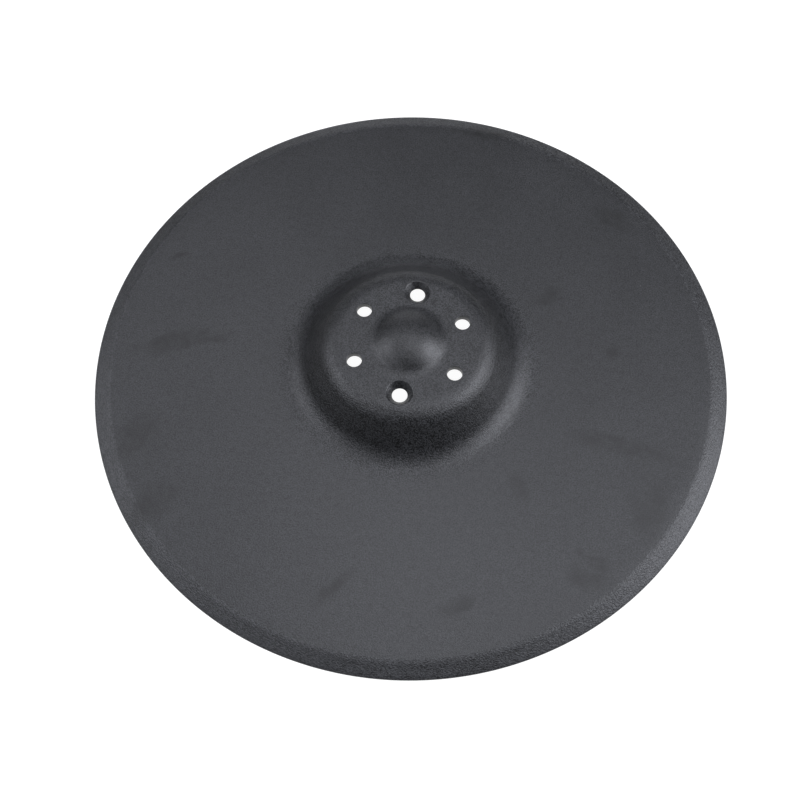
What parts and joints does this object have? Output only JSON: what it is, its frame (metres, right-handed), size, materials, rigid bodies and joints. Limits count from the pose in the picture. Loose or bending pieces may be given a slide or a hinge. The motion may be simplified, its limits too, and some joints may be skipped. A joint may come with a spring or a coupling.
{
  "type": "seed opener disc",
  "caption": "Round pressed-steel opener disc with a bevelled cutting edge and a raised, domed hub drilled for a bearing flange; it cuts the seed furrow on a planter or drill.",
  "frame": {"origin": "centre of the disc in the plane of its flat back, on the disc's axis", "axes": "+Z along the disc's axis, towards the side that the hub, the dome and the ground bevel face; +Y through one of the two countersunk holes"},
  "size_m": [0.38, 0.38, 0.0326],
  "materials": {
    "coated_steel": "satin charcoal coating with a fine grain over pressed steel"
  },
  "bodies": {
    "root": {"disc_blade": "coated_steel"}
  },
  "joints": []
}
